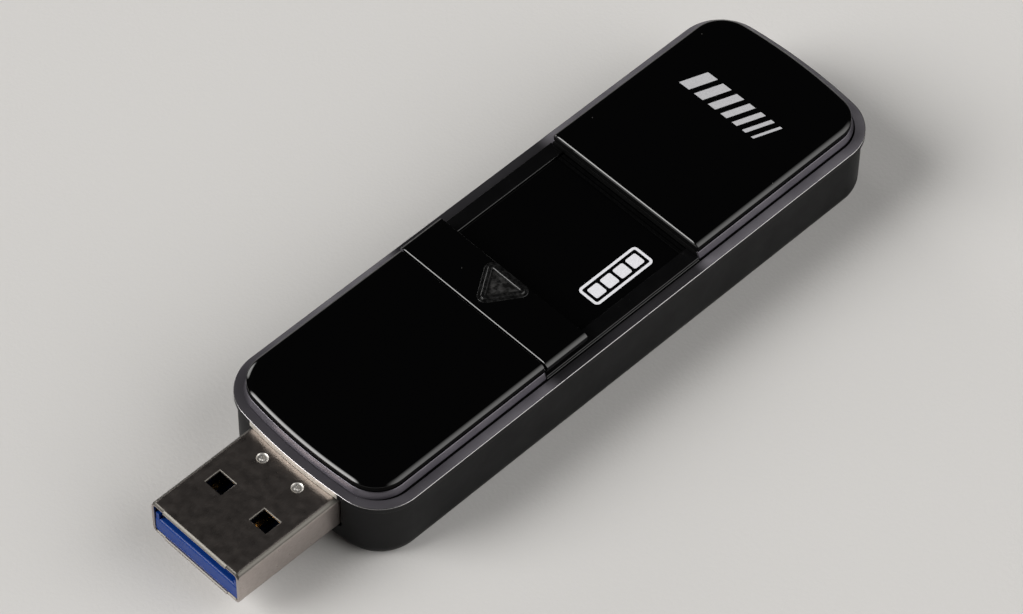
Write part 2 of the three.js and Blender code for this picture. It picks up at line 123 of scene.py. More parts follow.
class Nodes:
    """Shader nodes made and linked by short calls. A name's underscore stands for a space."""

    def __init__(self, tree):
        self.tree = tree

    def node(self, kind, **inputs):
        made = self.tree.nodes.new(kind)
        for name, value in inputs.items():
            self.feed(made.inputs[name.replace("_", " ")], value)
        return made

    def feed(self, socket, value):
        """Links another node's output to a socket, or gives the socket a plain value."""
        if isinstance(value, bpy.types.NodeSocket):
            self.tree.links.new(value, socket)
        elif isinstance(value, tuple) and len(value) == 3 and socket.type == "RGBA":
            socket.default_value = (*value, 1.0)
        else:
            socket.default_value = value

    def remap(self, value, low, high, to_low=0.0, to_high=1.0, kind="LINEAR"):
        made = self.node(
            "ShaderNodeMapRange", Value=value, From_Min=low, From_Max=high, To_Min=to_low, To_Max=to_high
        )
        made.interpolation_type = kind
        return made.outputs["Result"]

    def mix(self, factor, first, second):
        """A colour that goes from first to second as factor goes from 0 to 1."""
        made = self.node("ShaderNodeMix")
        made.data_type = "RGBA"
        factor_input, first_colour, second_colour, mixed_colour = 0, 6, 7, 2
        self.feed(made.inputs[factor_input], factor)
        self.feed(made.inputs[first_colour], first)
        self.feed(made.inputs[second_colour], second)
        return made.outputs[mixed_colour]

    def math(self, operation, first, second=0.0):
        made = self.node("ShaderNodeMath")
        made.operation = operation
        self.feed(made.inputs[0], first)
        self.feed(made.inputs[1], second)
        return made.outputs[0]


class Finish(Nodes):
    """A material built step by step. Patterns use object coordinates, which are the frame's own."""

    def __init__(self, name, metallic=0.0):
        self.material = bpy.data.materials.new(name)
        self.material.use_nodes = True
        super().__init__(self.material.node_tree)
        self.shader = self.tree.nodes["Principled BSDF"]
        self.set("Metallic", metallic)
        self.coordinates = self.node("ShaderNodeTexCoord").outputs["Object"]

    def set(self, name, value):
        """Sets one of the shader's inputs to a value or to a pattern."""
        self.feed(self.shader.inputs[name], value)

    def colour(self, factor, first, second):
        """A colour that goes from first to second as factor goes from 0 to 1."""
        self.set("Base Color", self.mix(factor, first, second))

    def roughness(self, pattern, low, high, span=CLOUDY):
        """Roughness that goes from low to high as the pattern goes through its span."""
        self.set("Roughness", self.remap(pattern, *span, low, high))

    def along(self, axis):
        """How far along an axis a point lies, in metres."""
        return self.node("ShaderNodeSeparateXYZ", Vector=self.coordinates).outputs[axis]

    def bump(self, height, depth_mm):
        made = self.node("ShaderNodeBump", Height=height, Distance=depth_mm * MM)
        self.set("Normal", made.outputs["Normal"])

    def noise(self, size_mm, detail=3.0, stretch=(1, 1, 1)):
        """Cloudy values about 0.5, in blots about size_mm wide."""
        place = self.node("ShaderNodeMapping", Vector=self.coordinates, Scale=stretch).outputs["Vector"]
        made = self.node("ShaderNodeTexNoise", Vector=place, Scale=1 / (size_mm * MM), Detail=detail)
        return made.outputs[0]

    def specks(self, spacing_mm, radius_mm):
        """1 inside a few scattered round specks, and 0 elsewhere."""
        made = self.node("ShaderNodeTexVoronoi", Vector=self.coordinates, Scale=1 / (spacing_mm * MM))
        rim, core = radius_mm / spacing_mm, radius_mm / spacing_mm * 0.6
        return self.remap(made.outputs["Distance"], rim, core)


def gloss_black():
    """Piano-black plastic with faint handling haze and a few specks of dust."""
    clean, dusty = (0.0008, 0.0008, 0.0009), (0.07, 0.068, 0.065)
    finish = Finish("gloss_black")
    dust = finish.specks(spacing_mm=2.6, radius_mm=0.06)
    haze = finish.remap(finish.noise(9.0, detail=4.0), 0.35, 0.75, 0.03, 0.08)
    finish.colour(dust, clean, dusty)
    finish.set("Roughness", finish.math("MAXIMUM", haze, finish.math("MULTIPLY", dust, 0.5)))
    finish.bump(finish.noise(0.9, detail=2.0), depth_mm=0.0002)
    return finish.material


def satin_graphite():
    """Fine-grained grey metal paint, a little violet."""
    finish = Finish("satin_graphite", metallic=0.8)
    cloud = finish.noise(3.0, detail=5.0)
    dust = finish.specks(spacing_mm=1.1, radius_mm=0.035)
    paint = finish.mix(finish.remap(cloud, *CLOUDY), (0.092, 0.086, 0.101), (0.13, 0.122, 0.14))
    finish.colour(dust, paint, (0.4, 0.4, 0.4))
    finish.roughness(cloud, 0.28, 0.4)
    finish.bump(finish.noise(0.06, detail=2.0), depth_mm=0.001)
    return finish.material


def ledge_graphite_painted_light():
    """The same paint on the rim's ledge, as a lighter copy that paints in the light the ledge catches.
    Painted shade darkens it along the opening, where the rails and the pad shade it, and round the nose."""
    finish = Finish("ledge_graphite_painted_light", metallic=0.6)
    cloud = finish.noise(3.0, detail=5.0)
    dust = finish.specks(spacing_mm=1.1, radius_mm=0.035)
    along = finish.along("Y")
    # Painted shade: darker along the opening, where the rails and the pad shade the ledge.
    middle, half, fade = (FRONT_SEAM_Y + REAR_SEAM_Y) / 2, (REAR_SEAM_Y - FRONT_SEAM_Y) / 2, 1.2
    from_middle = finish.math("ABSOLUTE", finish.math("SUBTRACT", along, middle * MM))
    outside = finish.remap(from_middle, (half - fade) * MM, (half + fade) * MM, kind="SMOOTHSTEP")
    # Painted shade: darker round the nose.
    nose_end, nose_start = -0.9 * BODY_HALF_LENGTH, -0.6 * BODY_HALF_LENGTH
    away_from_nose = finish.remap(along, nose_end * MM, nose_start * MM)
    # Painted light: a lighter copy of the satin paint.
    bright = finish.mix(finish.remap(cloud, *CLOUDY), (0.27, 0.255, 0.29), (0.34, 0.325, 0.36))
    second_tone = finish.mix(away_from_nose, (0.12, 0.113, 0.128), bright)
    paint = finish.mix(outside, (0.045, 0.043, 0.048), second_tone)
    finish.colour(dust, paint, (0.5, 0.5, 0.5))
    finish.roughness(cloud, 0.36, 0.46)
    finish.bump(finish.noise(0.06, detail=2.0), depth_mm=0.001)
    return finish.material


def worn_edge():
    """The rim's outer edge: bright metal showing through the paint, with a few darker chips."""
    bright = (0.33, 0.32, 0.33)
    finish = Finish("worn_edge", metallic=0.95)
    chips = finish.remap(finish.noise(0.7), 0.64, 0.72)
    finish.colour(chips, bright, (0.12, 0.11, 0.13))
    finish.roughness(chips, 0.26, 0.45, span=(0, 1))
    finish.bump(finish.noise(0.4), depth_mm=0.004)
    return finish.material


def mouth_painted_light():
    """Painted light: the rim's satin side over the plug's mouth, pale and warm for the light that bounces
    up onto it off the plug's steel top.
    """
    # The pale warm colour is painted light bounced off the plug; the smudges are darker.
    pale = (0.5, 0.47, 0.42)
    finish = Finish("mouth_painted_light", metallic=0.3)
    smudges = finish.remap(finish.noise(0.8, detail=4.0), 0.5, 0.8)
    finish.colour(smudges, pale, (0.36, 0.33, 0.29))
    finish.roughness(smudges, 0.36, 0.5, span=(0, 1))
    finish.bump(finish.noise(0.1, detail=2.0), depth_mm=0.001)
    return finish.material


def moulded_black():
    """Black plastic with the fine spark texture of a mould."""
    finish = Finish("moulded_black")
    finish.set("Base Color", (0.003, 0.003, 0.0033))
    finish.set("Specular IOR Level", 0.15)
    finish.roughness(finish.noise(4.0, detail=4.0), 0.42, 0.56)
    finish.bump(finish.noise(0.09), depth_mm=0.004)
    return finish.material


def groove_painted_shade():
    """Painted shade: black with almost no reflection, for the grooves, the seams and the caps' low
    upright sides, where shade falls.
    """
    finish = Finish("groove_painted_shade")
    finish.set("Specular IOR Level", 0.05)
    cloud = finish.noise(0.5)
    finish.colour(cloud, (0.001, 0.001, 0.001), (0.003, 0.003, 0.003))
    finish.roughness(cloud, 0.5, 0.7)
    finish.bump(finish.noise(0.1, detail=2.0), depth_mm=0.002)
    return finish.material


def rubbed_black():
    """The arrow's ridge and the pad's skirts: piano black that thumbs have rubbed to a satin."""
    clean, second_tone = (0.0012, 0.0012, 0.0013), (0.009, 0.009, 0.009)
    finish = Finish("rubbed_black")
    wear = finish.remap(finish.noise(0.3, detail=4.0), 0.4, 0.7)
    finish.colour(wear, clean, second_tone)
    finish.roughness(wear, 0.28, 0.4, span=(0, 1))
    finish.bump(finish.noise(0.15, detail=2.0), depth_mm=0.0008)
    return finish.material


def rail_grey():
    """The near-black satin of the opening's side trims."""
    clean, dusty = (0.0022, 0.0022, 0.0024), (0.08, 0.08, 0.08)
    finish = Finish("rail_grey")
    finish.colour(finish.specks(spacing_mm=0.9, radius_mm=0.03), clean, dusty)
    finish.roughness(finish.noise(2.0, detail=4.0), 0.16, 0.28)
    finish.bump(finish.noise(0.08, detail=2.0), depth_mm=0.0006)
    return finish.material


def settled_dust():
    """The floor of the arrow, where dust has settled on the black."""
    bare, dusty = (0.003, 0.003, 0.003), (0.022, 0.0215, 0.021)
    finish = Finish("settled_dust")
    blots = finish.remap(finish.noise(0.5, detail=6.0), 0.42, 0.72)
    finish.colour(blots, bare, dusty)
    finish.roughness(blots, 0.35, 0.8, span=(0, 1))
    finish.bump(blots, depth_mm=0.006)
    return finish.material


def plug_steel():
    """Nickel-plated steel with rolling grain along the plug and soft tarnish clouds. Slanting faces,
    which are the folds and cut edges, are darker and rougher, which dims their highlights."""
    finish = Finish("plug_steel", metallic=1.0)
    cloud = finish.noise(0.9, detail=6.0)
    grain = finish.noise(0.1, stretch=(1, 0.2, 1))
    tint = finish.mix(finish.remap(cloud, 0.3, 0.75), (0.43, 0.375, 0.35), (0.36, 0.31, 0.285))
    flat = finish.mix(finish.remap(grain, 0.3, 0.75), tint, (0.48, 0.435, 0.41))
    normal = finish.node("ShaderNodeNewGeometry").outputs["Normal"]
    facing = finish.node("ShaderNodeSeparateXYZ", Vector=normal)
    straight = 0.0
    for axis in "XYZ":
        straight = finish.math("MAXIMUM", straight, finish.math("ABSOLUTE", facing.outputs[axis]))
    fold = finish.remap(straight, 0.98, 0.9)
    finish.colour(fold, flat, (0.11, 0.104, 0.094))
    smooth = finish.remap(cloud, *CLOUDY, 0.27, 0.34)
    finish.set("Roughness", finish.math("MAXIMUM", smooth, finish.math("MULTIPLY", fold, 0.45)))
    finish.bump(finish.math("ADD", grain, finish.noise(0.05, detail=2.0)), depth_mm=0.0014)
    return finish.material


def pressed_steel():
    """The same steel in the pressed marks, lighter and rougher."""
    finish = Finish("pressed_steel", metallic=1.0)
    cloud = finish.noise(0.3, detail=4.0)
    finish.colour(cloud, (0.66, 0.64, 0.61), (0.5, 0.48, 0.45))
    finish.roughness(cloud, 0.42, 0.54)
    finish.bump(cloud, depth_mm=0.002)
    return finish.material


def plug_blue():
    """Moulded blue plastic, full blue at the mouth, with painted shade that makes it nearly black further
    in under the shell.
    """
    finish = Finish("plug_blue")
    finish.set("Specular IOR Level", 0.2)
    cloud = finish.noise(1.2, detail=4.0)
    # Painted shade: from 1.8 to 4.2 mm behind the mouth the blue darkens to near black, for the shade
    # under the shell.
    shade_from, shade_to = (SHELL_LOW.y + depth for depth in (1.8, 4.2))
    inner_shade = finish.remap(finish.along("Y"), shade_from * MM, shade_to * MM)
    clean = finish.mix(cloud, (0.0025, 0.028, 0.17), (0.004, 0.037, 0.21))
    finish.colour(inner_shade, clean, (0.0008, 0.004, 0.018))
    finish.roughness(cloud, 0.28, 0.36)
    finish.bump(finish.noise(0.07), depth_mm=0.001)
    return finish.material


def gold_plate():
    """Gold over nickel, lightly wiped along its length."""
    finish = Finish("gold_plate", metallic=1.0)
    wipes = finish.noise(0.1, stretch=(1, 0.08, 1))
    finish.colour(wipes, (0.86, 0.6, 0.24), (0.74, 0.48, 0.16))
    finish.roughness(wipes, 0.16, 0.32)
    return finish.material


def board_green():
    """Green solder mask with buried copper traces that show as lighter lines."""
    finish = Finish("board_green")
    finish.set("Roughness", 0.3)
    traces = finish.node("ShaderNodeTexWave", Vector=finish.coordinates, Scale=350.0, Distortion=6.0)
    lines = finish.remap(traces.outputs["Fac"], 0.72, 0.8)
    finish.colour(lines, (0.006, 0.07, 0.03), (0.02, 0.16, 0.06))
    finish.bump(lines, depth_mm=0.015)
    return finish.material


def chip_black():
    """Filled epoxy, matt and slightly grainy."""
    finish = Finish("chip_black")
    finish.set("Roughness", 0.55)
    grain = finish.noise(0.08)
    finish.colour(grain, (0.016, 0.016, 0.017), (0.035, 0.035, 0.036))
    finish.bump(grain, depth_mm=0.006)
    return finish.material


def can_metal():
    """Bright stamped tin or spring steel."""
    finish = Finish("can_metal", metallic=1.0)
    streaks = finish.noise(0.2, detail=4.0, stretch=(1, 0.1, 1))
    finish.colour(streaks, (0.6, 0.6, 0.61), (0.74, 0.74, 0.75))
    finish.roughness(streaks, 0.18, 0.34)
    return finish.material


def ceramic_tan():
    """A fired ceramic body, mottled and slightly rough."""
    finish = Finish("ceramic_tan")
    finish.set("Roughness", 0.5)
    finish.colour(finish.noise(0.3, detail=4.0), (0.38, 0.24, 0.12), (0.5, 0.33, 0.18))
    finish.bump(finish.noise(0.1), depth_mm=0.004)
    return finish.material


def printed(name, colour):
    """Screen-printed ink with a slightly uneven film."""
    finish = Finish(name)
    finish.set("Roughness", 0.45)
    film = finish.noise(0.15)
    darker = tuple(0.86 * value for value in colour)
    finish.colour(finish.remap(film, 0.4, 0.7), colour, darker)
    finish.bump(film, depth_mm=0.003)
    return finish.material


MATERIALS = {
    "gloss_black": gloss_black(),
    "satin_graphite": satin_graphite(),
    "ledge_graphite_painted_light": ledge_graphite_painted_light(),
    "worn_edge": worn_edge(),
    "mouth_painted_light": mouth_painted_light(),
    "moulded_black": moulded_black(),
    "groove_painted_shade": groove_painted_shade(),
    "rubbed_black": rubbed_black(),
    "dark_grey": rail_grey(),
    "settled_dust": settled_dust(),
    "plug_steel": plug_steel(),
    "pressed_steel": pressed_steel(),
    "plug_blue": plug_blue(),
    "gold_plate": gold_plate(),
    "board_green": board_green(),
    "chip_black": chip_black(),
    "can_metal": can_metal(),
    "ceramic_tan": ceramic_tan(),
    "print_white": printed("print_white", (0.78, 0.78, 0.82)),
    "print_grey": printed("print_grey", (0.5, 0.5, 0.52)),
}


# ------------------------------------------------------------------ mesh building


def new_object(name, points, faces):
    """An object in the scene, made from points in millimetres."""
    mesh = bpy.data.meshes.new(name)
    mesh.from_pydata([Vector(p) * MM for p in points], [], faces)
    mesh.update()
    made = bpy.data.objects.new(name, mesh)
    bpy.context.scene.collection.objects.link(made)
    return made


def paint_faces(piece, slots, slot_of_face):
    """Gives a piece its materials, and each face the one that slot_of_face names."""
    piece.data.materials.clear()
    for slot in slots:
        piece.data.materials.append(MATERIALS[slot])
    for face in piece.data.polygons:
        face.material_index = slots.index(slot_of_face(face))


SHARP_ANGLE = math.radians(35)


def finish_piece(piece, slot, body, *replaced):
    """Gives a mesh its smooth shading, its material, its body and the CAD nodes it stands for."""
    if not piece.data.materials:
        piece.data.materials.append(MATERIALS[slot])
    piece.data.shade_smooth()
    piece.data.set_sharp_from_angle(angle=SHARP_ANGLE)
    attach(piece, body)
    if replaced:
        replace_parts(piece, *replaced)


def soften(piece, width_mm=0.0):
    """Rounds a piece's sharp edges by that width, if any, and keeps its flats flat in the shading."""
    if width_mm:
        bevel = piece.modifiers.new("edges", "BEVEL")
        bevel.width = width_mm * MM
        bevel.segments = 2
        bevel.limit_method = "ANGLE"
        bevel.angle_limit = SHARP_ANGLE
    normals = piece.modifiers.new("normals", "WEIGHTED_NORMAL")
    normals.keep_sharp = True


def boolean(piece, operation, *shapes):
    """Joins, cuts or intersects a piece with shapes given as points and faces."""
    for points, faces in shapes:
        tool = new_object("tool", points, faces)
        modifier = piece.modifiers.new("boolean", "BOOLEAN")
        modifier.operation = operation
        modifier.object = tool
        modifier.solver = "EXACT"
        depsgraph = bpy.context.evaluated_depsgraph_get()
        result = bpy.data.meshes.new_from_object(piece.evaluated_get(depsgraph))
        piece.modifiers.clear()
        piece.data = result
        bpy.data.objects.remove(tool)


# ------------------------------------------------------------------ shapes

# In what follows, hold is how far an extra point lies from a corner, to keep the flat beside it flat
# in the shading.


def loft(loops, ring=False):
    """A skin over loops that all have the same number of points. A ring joins its last loop to its
    first, and anything else is capped at both ends."""
    count = len(loops[0])
    points = [point for loop in loops for point in loop]
    faces = []
    for row in range(len(loops) if ring else len(loops) - 1):
        below = row * count
        above = (row + 1) % len(loops) * count
        for i in range(count):
            j = (i + 1) % count
            faces.append((below + i, below + j, above + j, above + i))
    if not ring:
        faces.append(tuple(reversed(range(count))))
        faces.append(tuple(range(len(points) - count, len(points))))
    return points, faces


def arc(centre_x, centre_y, radius, start, end, steps):
    """Points of a circle's arc, with its ends."""
    angles = [start + (end - start) * i / steps for i in range(steps + 1)]
    return [(centre_x + radius * math.cos(a), centre_y + radius * math.sin(a)) for a in angles]


def bend(start, corner, end, steps=5):
    """Points of a smooth turn from start to end round a corner."""

    def blend(t, a, b, c):
        return (1 - t) ** 2 * a + 2 * t * (1 - t) * b + t * t * c

    along = [i / steps for i in range(steps + 1)]
    return [tuple(blend(t, *values) for values in zip(start, corner, end)) for t in along]


def rectangle_loop(xs, ys, inset_x, inset_y, z):
    """A level rectangle between two values on each axis, with its sides moved in."""
    x0, x1 = xs[0] + inset_x, xs[1] - inset_x
    y0, y1 = ys[0] + inset_y, ys[1] - inset_y
    return [(x0, y0, z), (x1, y0, z), (x1, y1, z), (x0, y1, z)]


def block(xs, ys, zs):
    """A block between two values on each axis."""
    return loft([rectangle_loop(xs, ys, 0, 0, z) for z in zs])


def rounded_rectangle(half_width, half_height, radius, steps=8):
    """A rectangle's outline about the origin, with round corners."""
    x, y = half_width - radius, half_height - radius
    corners = ((x, y), (-x, y), (-x, -y), (x, -y))
    outline = []
    for i, (cx, cy) in enumerate(corners):
        outline += arc(cx, cy, radius, i * math.pi / 2, (i + 1) * math.pi / 2, steps)
    return outline


def body_end(inset):
    """The body's outline round its +Y end, from the right side to the left, moved in by inset."""
    end_centre = BODY_HALF_LENGTH - END_RADIUS
    corner_x = BODY_HALF_WIDTH - CORNER_RADIUS
    corner_y = end_centre + math.sqrt((END_RADIUS - CORNER_RADIUS) ** 2 - corner_x**2)
    turn = math.atan2(corner_y - end_centre, corner_x)
    right = arc(corner_x, corner_y, CORNER_RADIUS - inset, 0, turn, 20)
    end = arc(0, end_centre, END_RADIUS - inset, turn, math.pi - turn, 28)
    left = arc(-corner_x, corner_y, CORNER_RADIUS - inset, math.pi - turn, math.pi, 20)
    return right + end[1:] + left[1:]


def whole_loop(inset, z):
    """The body's whole outline at a height, moved in by inset."""
    half = body_end(inset)
    return [(x, y, z) for x, y in half] + [(-x, -y, z) for x, y in half]


SEAM_CORNER = 0.15
NOSE_REACH = 0.3


def block_loop(seam_y, inset, z, seam_inset, across=()):
    """The outline of one end of the body, cut off square at its seam with small round corners.
    Points at the values in across are kept along the seam. The front block is the rear one turned
    by half a turn, and its nose reaches a little nearer to the rim's front."""
    turn = 1 if seam_y > 0 else -1
    reach = 0.0 if seam_y > 0 else NOSE_REACH
    cut_y = abs(seam_y) + seam_inset
    half_width = BODY_HALF_WIDTH - inset
    round_off = bend(
        (half_width - SEAM_CORNER, cut_y), (half_width, cut_y), (half_width, cut_y + SEAM_CORNER), 3
    )
    plan = round_off + [(x, y + reach) for x, y in body_end(inset)]
    plan += [(-x, y) for x, y in reversed(round_off)]
    plan += [(x, cut_y) for x in across]
    return [(turn * x, turn * y, z) for x, y in plan]


# ------------------------------------------------------------------ housing


def bottom_shell():
    """The tub: rounded foot, plain walls, a hollow, and the plug's mouth cut through its nose."""
    foot = 1.6
    foot_steps = 12
    edge = 0.12
    floor_z = 1.2
    wall = TUB_INSET + TUB_WALL
    hold = 0.05
    profile = [(TUB_INSET + foot + hold, 0.0)]
    for i in range(foot_steps + 1):
        angle = i / foot_steps * math.pi / 2
        profile.append((TUB_INSET + foot * (1 - math.sin(angle)), foot * (1 - math.cos(angle))))
    profile.append((TUB_INSET, foot + hold))
    profile += bend(
        (TUB_INSET, RIM_BOTTOM_Z - edge), (TUB_INSET, RIM_BOTTOM_Z), (TUB_INSET + edge, RIM_BOTTOM_Z)
    )
    profile += [(wall, RIM_BOTTOM_Z), (wall, floor_z), (wall + hold, floor_z)]
    tub = new_object("tub", *loft([whole_loop(inset, z) for inset, z in profile]))
    boolean(tub, "DIFFERENCE", plug_mouth())
    soften(tub, 0.05)
    finish_piece(tub, "moulded_black", HOUSING, "bottom_shell")


def plug_mouth():
    """A cutter for the plug's mouth, which is open at the top, under the rim."""
    clearance = 0.15
    corner = 0.5
    bottom, top = SHELL_LOW.z - clearance, RIM_BOTTOM_Z + 1.0
    outline = rounded_rectangle(SHELL_HIGH.x + clearance, (top - bottom) / 2, corner)
    front, back = -BODY_HALF_LENGTH - 1, -BODY_HALF_LENGTH + 3
    return loft([[(x, y, (top + bottom) / 2 + z) for x, z in outline] for y in (back, front)])


def rim_frame():
    """The ring: a side in black as painted shade, a worn bright edge, a brushed ledge that is partly
    painted light and shade, and a dark channel along the bands. The side over the plug's mouth is painted
    pale as light bounced up off the plug, and reaches down almost to the plug."""
    edge = 0.08
    hold = 0.03
    channel = BAND_INSET - 0.13
    channel_end = channel + 0.36
    channel_floor = RIM_TOP_Z - 0.25
    lip = 0.04
    inner = 2.3
    profile = bend((edge, RIM_BOTTOM_Z), (0, RIM_BOTTOM_Z), (0, RIM_BOTTOM_Z + edge))
    side = len(profile) - 1
    profile += bend((0, RIM_TOP_Z - edge), (0, RIM_TOP_Z), (edge, RIM_TOP_Z), 8)
    ledge = len(profile) - 1
    profile += [(edge + hold, RIM_TOP_Z)]
    profile += bend((channel - lip, RIM_TOP_Z), (channel, RIM_TOP_Z), (channel, RIM_TOP_Z - lip), 3)
    channel_side = len(profile) - 1
    profile += [(channel, channel_floor), (channel_end, channel_floor), (channel_end, RIM_TOP_Z)]
    profile += [(inner, RIM_TOP_Z), (inner, RIM_BOTTOM_Z)]
    gap_over_plug = 0.03
    drop = RIM_BOTTOM_Z - SHELL_HIGH.z - gap_over_plug
    drop_half_width = SHELL_HIGH.x + 0.4

    def lowered(x, y, z):
        over_plug = y < 0 and abs(x) < drop_half_width and z < RIM_BOTTOM_Z + 2 * edge
        return (x, y, z - drop) if over_plug else (x, y, z)

    loops = [[lowered(*point) for point in whole_loop(inset, z)] for inset, z in profile]

    def slot_of_face(face):
        row = face.index // len(loops[0])
        over_mouth = face.center.y < 0 and abs(face.center.x) < SHELL_HIGH.x * MM
        # Over the plug's mouth the side is painted light: pale, for light bounced up off the plug.
        if row <= side and over_mouth:
            return "mouth_painted_light"
        if side < row < ledge:
            return "worn_edge"
        # Elsewhere the outer side is black as painted shade; the channel and the inner faces are moulded
        # black.
        if row <= side or row >= channel_side:
            return "moulded_black"
        return "ledge_graphite_painted_light"

    ring = new_object("rim", *loft(loops, ring=True))
    paint_faces(ring, ("ledge_graphite_painted_light", "worn_edge", "moulded_black", "mouth_painted_light"), slot_of_face)
    finish_piece(ring, "satin_graphite", HOUSING, "rim_frame")


def band(name, seam_y, node):
    """The satin wall under a cover. It leans in, its foot is undercut above the rim's channel, and
    its seam wall is black and open above the slider plate. The seam wall and the groove at its top are in
    the matt black that paints in their shade."""
    foot_z = RIM_TOP_Z
    top_z = BAND_HIGH.z
    undercut = 0.18
    edge = 0.06
    hold = 0.02
    top_inset = COVER_INSET - 0.05
    groove_z = top_z - 0.3
    inner = BAND_INSET + BAND_WALL
    lean = 0.02
    foot_edge, foot_round = 0.05, 0.07
    belly_z = foot_z + undercut
    profile = [(BAND_INSET + undercut, foot_z, undercut / 2)]
    profile += bend(
        (BAND_INSET + foot_edge, belly_z - foot_edge, lean),
        (BAND_INSET, belly_z, 0.0),
        (BAND_INSET + lean, belly_z + foot_round, 0.0),
        3,
    )
    profile += bend(
        (top_inset - lean, top_z - edge, 0.0), (top_inset, top_z, 0.0), (top_inset + edge, top_z, edge), 4
    )
    groove = [
        (top_inset + edge + hold, groove_z, edge + hold),
        (inner, groove_z, BAND_WALL),
        (inner, foot_z, BAND_WALL),
    ]
    profile += groove
    passage = RAIL_LOW.x
    passage_top = PLATE_HIGH.z + 0.12
    across = [-passage - hold, -passage, 0.0, passage, passage + hold]

    def raised(x, y, z):
        return (x, y, max(z, passage_top)) if abs(x) < passage + hold / 2 else (x, y, z)

    loops = []
    for inset, z, seam_inset in profile:
        loop = block_loop(seam_y, inset, z, seam_inset, across)
        seam_wall = [raised(*point) for point in loop[-len(across) :]]
        loops.append(loop[: -len(across)] + seam_wall)

    # Groove faces and the seam wall get the matt black that paints in their shade.
    def slot_of_face(face):
        row, place = divmod(face.index, len(loops[0]))
        in_groove = row >= len(profile) - len(groove) - 1
        on_seam = place >= len(loops[0]) - len(across) - 1
        return "groove_painted_shade" if in_groove or on_seam else "satin_graphite"

    piece = new_object(name, *loft(loops, ring=True))
    paint_faces(piece, ("satin_graphite", "groove_painted_shade"), slot_of_face)
    finish_piece(piece, "satin_graphite", HOUSING, node)


SHOULDER_RADIUS = 1.41
SHOULDER_START = math.radians(52)
SEAM_CHAMFER = ((-0.11, 0.0), (-0.095, 0.008), (-0.02, 0.08), (0.0, 0.11))  # height from the top, inset


def seam_inset_at(z):
    """How far the seam's edge has moved in at a height, along its small bright chamfer."""
    height = z - TOP_Z
    if height <= SEAM_CHAMFER[0][0]:
        return 0.0
    for (z0, in0), (z1, in1) in zip(SEAM_CHAMFER, SEAM_CHAMFER[1:]):
        if height <= z1:
            return in0 + (in1 - in0) * (height - z0) / (z1 - z0)
    return SEAM_CHAMFER[-1][1]


def top_profile(bottom_z):
    """A glossy cap's outer edge, as (inset, z, end inset): an upright side, a small round where the
    shoulder begins, and the shoulder's wide arc up to the flat top. The seam ends have a chamfer."""
    small, small_steps = 0.1, 5
    wide_steps = 20
    undercut = 0.05
    hold = 0.03
    centre_z = TOP_Z - SHOULDER_RADIUS
    start_z = centre_z + SHOULDER_RADIUS * math.sin(SHOULDER_START)
    small_z = start_z - small * math.sin(SHOULDER_START)
    start_inset = COVER_INSET + small * (1 - math.cos(SHOULDER_START))
    centre_inset = start_inset + SHOULDER_RADIUS * math.cos(SHOULDER_START)
    outline = [(COVER_INSET + undercut, bottom_z), (COVER_INSET, bottom_z + undercut)]
    for i in range(small_steps + 1):
        angle = SHOULDER_START * i / small_steps
        outline.append((COVER_INSET + small * (1 - math.cos(angle)), small_z + small * math.sin(angle)))
    for i in range(1, wide_steps + 1):
        angle = SHOULDER_START + (math.pi / 2 - SHOULDER_START) * i / wide_steps
        x, z = SHOULDER_RADIUS * math.cos(angle), SHOULDER_RADIUS * math.sin(angle)
        outline.append((centre_inset - x, centre_z + z))
    profile = [(inset, z, seam_inset_at(z)) for inset, z in outline]
    profile.append((centre_inset + hold, TOP_Z, seam_inset_at(TOP_Z) + hold))
    return profile


def cover(name, seam_y, node):
    """A glossy cap with a lip beneath it that drops into its band. Its lip, underside and low upright
    side are in the matt black that paints in the shade of the groove.
    """
    lip_width = 0.8
    lip_out = BAND_INSET + BAND_WALL + 0.1
    lip_in = lip_out + lip_width
    seam_wall = lip_out - BAND_INSET
    seam_wall_in = seam_wall + lip_width
    lip = [
        (lip_in, COVER_BOTTOM_Z, seam_wall_in),
        (lip_in, LIP_BOTTOM_Z, seam_wall_in),
        (lip_out, LIP_BOTTOM_Z, seam_wall),
        (lip_out, COVER_BOTTOM_Z, seam_wall),
    ]
    profile = lip + top_profile(COVER_BOTTOM_Z)
    upright_top = len(lip) + 2
    loops = [block_loop(seam_y, inset, z, seam_inset) for inset, z, seam_inset in profile]

    def slot_of_face(face):
        # The lip, underside and low upright side get the matt black that paints in the groove's shade.
        on_skin = len(face.vertices) == 4
        return "groove_painted_shade" if on_skin and face.index // len(loops[0]) <= upright_top else "gloss_black"

    piece = new_object(name, *loft(loops))
    paint_faces(piece, ("gloss_black", "groove_painted_shade"), slot_of_face)
    finish_piece(piece, "gloss_black", HOUSING, node)


